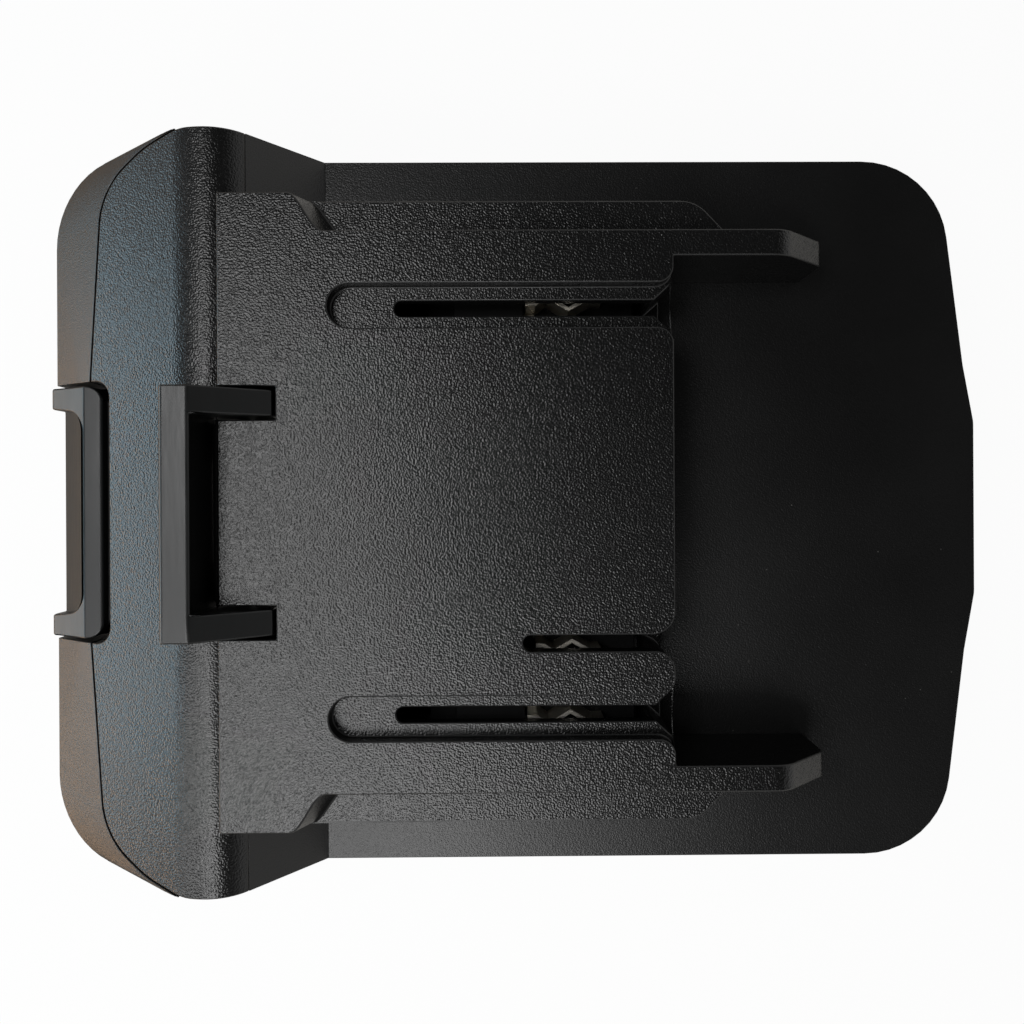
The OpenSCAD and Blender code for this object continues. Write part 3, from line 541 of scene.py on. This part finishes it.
class ADAPTER_OT_shells(Piece, bpy.types.Operator):
    """Upper and lower shell of the case"""

    bl_idname = "adapter.shells"
    bl_label = "Case shells"

    def execute(self, context):
        size, paint = sizes(), colours()
        grained = moulded(
            "ABS, moulded with a fine grain", paint.shell, size.shell_grain,
            depth=0.022 * MM, rough=0.36, spread=0.03, speck=0.3)
        edges = rubbed_with_painted_highlight("ABS, rubbed edges of the shells", paint.shell, rough=0.4)
        for node, name in (("upper_shell", "upper_moulding"), ("lower_shell", "lower_moulding")):
            piece = rounded_copy(node, name, size.shell_edge, [grained, edges])
            stand_for(piece, node)
        return {"FINISHED"}


class ADAPTER_OT_latch(Piece, bpy.types.Operator):
    """Sliding latch with its hook and its button"""

    bl_idname = "adapter.latch"
    bl_label = "Release latch"

    def execute(self, context):
        size, paint = sizes(), colours()
        smooth = acetal("Acetal, moulded smooth", paint.latch)
        edges = rubbed_with_painted_highlight("Acetal, rubbed edges of the latch", paint.latch, rough=0.36)
        piece = rounded_copy(
            "release_latch", "latch_moulding", size.latch_edge, [smooth, edges], segments=3)
        stand_for(piece, "release_latch")
        return {"FINISHED"}


class ADAPTER_OT_springs(Piece, bpy.types.Operator):
    """Two coil springs under the latch"""

    bl_idname = "adapter.springs"
    bl_label = "Latch springs"

    steps = 30
    sides = 14
    close_gap = 0.47 * MM
    end_gap = 0.05 * MM

    def line(self, low, high, wire, turns):
        """Middle line of the wire: a helix whose first and last turn rise by wire + close_gap, and whose
        turns between them share the rest of the height evenly."""
        u = np.arange(self.steps * turns + 1) / self.steps
        radius = (high[0] - low[0] - wire) / 2
        rise = high[2] - low[2] - wire
        dead = wire + self.close_gap
        climb = np.interp(u, [0, 1, turns - 1, turns], [0, dead, rise - dead, rise])
        middle = (np.array(low) + np.array(high)) / 2
        return np.stack([
            middle[0] + radius * np.cos(2 * np.pi * u),
            middle[1] + radius * np.sin(2 * np.pi * u),
            low[2] + wire / 2 + climb], -1)

    def execute(self, context):
        size, paint = sizes(), colours()
        steel = metal(
            "Spring steel, drawn", paint.spring, paint.spring_dull,
            rough=0.28, streak=0.2 * MM, stretch=(1, 1, 0.3))
        for node, name in (("latch_spring_left", "left_coil"), ("latch_spring_right", "right_coil")):
            low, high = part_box(node)
            path = self.line(low, high, size.wire, size.turns)
            points, faces = tube(path, size.wire / 2, self.sides, up=(0, 0, 1))
            piece = put(name, new_mesh(name, points, faces, steel))
            stand_for(piece, node)
            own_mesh(piece)
        return {"FINISHED"}


class ADAPTER_OT_leads(Piece, bpy.types.Operator):
    """Insulated leads between the contacts, the board and the battery blades"""

    bl_idname = "adapter.leads"
    bl_label = "Leads"

    steps = 12
    sides = 20
    # Routes in millimetres, as the solids run, with a straight end where the last point is given apart
    left_route = [(-3, 20, 23.3), (-2, 20, 21), (3, 20, 18.4), (12, 20, 17.6), (24, 19, 17.4),
                  (32, 14.05, 17.6), (39.75, 11.05, 17.8), (44.75, 11.05, 17.8)]
    contact_route = [(-1.35, -12.8, 23), (-0.75, -12.5, 21), (0.25, -9.2, 21.6), (0.65, -7.2, 19.6)]
    contact_end = (0.65, -7.2, 18.65)
    battery_route = [(44.35, 1.15, 17.4), (38.75, 1.15, 17.4), (24, 1.75, 16.2), (12, 1.15, 18.8),
                     (6.2, 1.15, 21.4), (4.6, 1.15, 19.6)]
    battery_end = (4.6, 1.15, 18.65)

    def smooth(self, points, end=None):
        """The smooth route in metres, with its straight end."""
        path = through(points, self.steps)
        return MM * (path if end is None else np.vstack([path, end]))

    def execute(self, context):
        size, paint = sizes(), colours()
        left = self.smooth(self.left_route)
        right = self.smooth([(x, -y, z) for x, y, z in self.left_route])
        contact = self.smooth(self.contact_route, self.contact_end)
        battery = self.smooth(self.battery_route, self.battery_end)
        # Node, colour's name, colour, path, thickness, and a direction that the path never runs in
        rows = (
            ("positive_lead", "red", paint.red, left, size.power_lead, (0.3, 0.9, 0.3)),
            ("negative_lead", "black", paint.black, right, size.power_lead, (0.3, -0.9, 0.3)),
            ("contact_signal_lead", "yellow", paint.yellow, contact, size.signal_lead, (1, 0.1, 0)),
            ("battery_signal_lead", "white", paint.white, battery, size.signal_lead, (0.1, 1, 0.1)),
        )
        for node, tint, base, path, thick, up in rows:
            points, faces = tube(path, thick / 2, self.sides, up)
            name, rubber = tint + "_lead", insulation("Silicone, " + tint, base)
            stand_for(put(name, new_mesh(name, points, faces, rubber)), node)
        return {"FINISHED"}


class ADAPTER_OT_contacts(Piece, bpy.types.Operator):
    """Spring clips for the blades of the tool, and blades for the battery"""

    bl_idname = "adapter.contacts"
    bl_label = "Contacts and blades"

    def execute(self, context):
        size, paint = sizes(), colours()
        strip = metal(
            "Copper alloy strip, tinned", paint.copper, paint.copper_dull,
            rough=0.4, streak=0.16 * MM, stretch=(0.05, 1, 1))
        for node in ("positive_contact", "negative_contact", "signal_contact",
                     "positive_blade", "negative_blade", "signal_blade"):
            piece = rounded_copy(node, node + "_strip", size.metal_edge, [strip])
            stand_for(piece, node)
        return {"FINISHED"}


class ADAPTER_OT_holders(Piece, bpy.types.Operator):
    """Carrier of the clips and block of the blades"""

    bl_idname = "adapter.holders"
    bl_label = "Contact holders"

    def execute(self, context):
        size, paint = sizes(), colours()
        nylon = filled_nylon("Nylon with glass fibre, moulded", paint.carrier)
        for node in ("contact_carrier", "blade_block"):
            piece = rounded_copy(node, node + "_moulding", size.cover_edge, [nylon])
            stand_for(piece, node)
        return {"FINISHED"}


class ADAPTER_OT_screws(Piece, bpy.types.Operator):
    """Screws of the case, the cover and the blade block"""

    bl_idname = "adapter.screws"
    bl_label = "Screws"

    def execute(self, context):
        size, paint = sizes(), colours()
        plated = metal(
            "Steel, bright zinc plated", paint.zinc, paint.zinc_dull,
            rough=0.3, streak=0.24 * MM, stretch=(1, 1, 1))
        for node in ("case_screws", "cover_screws", "block_screws"):
            piece = rounded_copy(node, node + "_plated", size.screw_edge, [plated])
            stand_for(piece, node)
        return {"FINISHED"}


class ADAPTER_OT_board(Piece, bpy.types.Operator):
    """Signal board and the parts on it"""

    bl_idname = "adapter.board"
    bl_label = "Signal board"

    def execute(self, context):
        size, paint = sizes(), colours()
        green = laminate("Glass epoxy under solder mask", paint.mask)
        board = rounded_copy("signal_board", "board_laminate", size.metal_edge, [green], segments=1)
        stand_for(board, "signal_board")
        epoxy = moulded(
            "Epoxy, transfer moulded", paint.chip, 0.2 * MM,
            depth=0.006 * MM, rough=0.55, spread=0.05, speck=0.0)
        parts = rounded_copy("board_parts", "board_chips", size.metal_edge, [epoxy])
        stand_for(parts, "board_parts")
        return {"FINISHED"}


class ADAPTER_OT_stage(Piece, bpy.types.Operator):
    """Pale floor, soft lamps and the camera straight above the rails"""

    bl_idname = "adapter.stage"
    bl_label = "Studio"

    floor_half = 1.5
    # The floor lies this far under the case, so that the two don't share a plane
    floor_drop = 0.1 * MM
    # The pale wall of the studio, as reflections show it, fades out between these heights above the horizon
    band_low = math.radians(12)
    band_high = math.radians(48)
    # The lamps look at this point from this far away
    middle = np.array([0.0, 0.0, 0.03])
    reach = 0.3
    # Lamps: name, direction from the middle in degrees round and up, width, height, and colour
    lamps = (
        ("key", 163, 66, 0.1, 0.1, "#ffffff"),
        ("corner", 220, 60, 0.1, 0.1, "#ffffff"),
        ("low", 207, 36, 0.1, 0.1, "#ffffff"),
        ("side", 257, 56, 0.1, 0.1, "#ffffff"),
        ("cool", 181, 11, 0.24, 0.08, "#b4daee"),
        ("warm", 194, -2, 0.3, 0.03, "#ffd0a4"),
    )
    nearest, farthest = 0.005, 10

    def lay_floor(self):
        """The floor under the case."""
        half, down = self.floor_half, -self.floor_drop
        corners = np.array([
            (-half, -half, down), (half, -half, down), (half, half, down), (-half, half, down)])
        paper = pale_floor("Paper, matt white", colours().floor)
        put("floor", new_mesh("floor", corners, [(0, 1, 2, 3)], paper))

    def hang_lamp(self, name, azimuth, height, wide, tall, tint):
        """A soft lamp that looks at the middle from that direction."""
        light = bpy.data.lights.new(name, "AREA")
        light.shape = "RECTANGLE"
        light.size = wide
        light.size_y = tall
        light.energy = getattr(studio(), name)
        light.color = linear(tint)[:3]
        turn, lift = math.radians(azimuth), math.radians(height)
        lamp = put(name, light)
        lamp.location = self.middle + self.reach * np.array([
            math.cos(lift) * math.cos(turn), math.cos(lift) * math.sin(turn), math.sin(lift)])
        lamp.rotation_euler = (math.pi / 2 - lift, 0, turn + math.pi / 2)
        lamp.visible_camera = False

    def light_world(self, scene):
        """White to the camera, a pale wall all round in reflections, and a little even light otherwise."""
        set_up = studio()
        world = bpy.data.worlds.new("studio")
        world.use_nodes = True
        tree = world.node_tree
        tree.nodes.clear()
        path = add(tree, "ShaderNodeLightPath").outputs
        toward = add(tree, "ShaderNodeTexCoord").outputs["Generated"]
        up = add(tree, "ShaderNodeSeparateXYZ", {0: toward}).outputs[2]
        fade = (math.sin(self.band_low), math.sin(self.band_high))
        band = ramp(tree, up, fade, (set_up.horizon, set_up.sky))
        even, wall, white = (
            add(tree, "ShaderNodeBackground", {"Color": WHITE, "Strength": strong}).outputs[0]
            for strong in (set_up.sky, band, 1.0))
        mirrored = add(tree, "ShaderNodeMixShader", {0: path["Is Glossy Ray"], 1: even, 2: wall})
        both = add(tree, "ShaderNodeMixShader", {
            0: path["Is Camera Ray"], 1: mirrored.outputs[0], 2: white})
        add(tree, "ShaderNodeOutputWorld", {"Surface": both.outputs[0]})
        scene.world = world
        scene.view_settings.view_transform = "Standard"

    def set_camera(self, scene):
        """The camera over the rails."""
        set_up = studio()
        camera = bpy.data.cameras.new("camera")
        camera.lens = set_up.lens
        camera.shift_x = set_up.crop_x
        camera.shift_y = set_up.crop_y
        camera.clip_start = self.nearest
        camera.clip_end = self.farthest
        eye = put("camera", camera)
        eye.location = (set_up.camera_x, set_up.camera_y, set_up.camera_height)
        eye.rotation_euler = (0, set_up.camera_lean, set_up.camera_turn)
        scene.camera = eye

    def execute(self, context):
        self.lay_floor()
        for row in self.lamps:
            self.hang_lamp(*row)
        self.light_world(context.scene)
        self.set_camera(context.scene)
        return {"FINISHED"}


GROUPS = (
    ("adapter_colours", AdapterColours),
    ("adapter_sizes", AdapterSizes),
    ("adapter_studio", AdapterStudio),
)
OPERATORS = (
    ADAPTER_OT_stage, ADAPTER_OT_cover, ADAPTER_OT_shells, ADAPTER_OT_latch, ADAPTER_OT_springs,
    ADAPTER_OT_leads, ADAPTER_OT_contacts, ADAPTER_OT_holders, ADAPTER_OT_screws, ADAPTER_OT_board,
)


class ADAPTER_PT_panel(bpy.types.Panel):
    """Lists the steps that build the adapter, with its sizes and colours"""

    bl_idname = "ADAPTER_PT_panel"
    bl_label = "Tool battery adapter"
    bl_space_type = "VIEW_3D"
    bl_region_type = "UI"
    bl_category = "Adapter"

    def draw(self, context):
        for operator in OPERATORS:
            self.layout.operator(operator.bl_idname)
        for name, group in GROUPS:
            box = self.layout.box()
            for key in group.__annotations__:
                box.prop(getattr(context.scene, name), key)


CLASSES = (*(group for _, group in GROUPS), *OPERATORS, ADAPTER_PT_panel)


def register():
    """Adds the classes and the scene's settings."""
    for cls in CLASSES:
        bpy.utils.register_class(cls)
    for name, group in GROUPS:
        setattr(bpy.types.Scene, name, bpy.props.PointerProperty(type=group))


def unregister():
    """Takes the settings and the classes away again."""
    for name, _ in GROUPS:
        delattr(bpy.types.Scene, name)
    for cls in reversed(CLASSES):
        bpy.utils.unregister_class(cls)


def main():
    register()
    for operator in OPERATORS:
        group, name = operator.bl_idname.split(".")
        getattr(getattr(bpy.ops, group), name)()


if __name__ == "__main__":
    main()
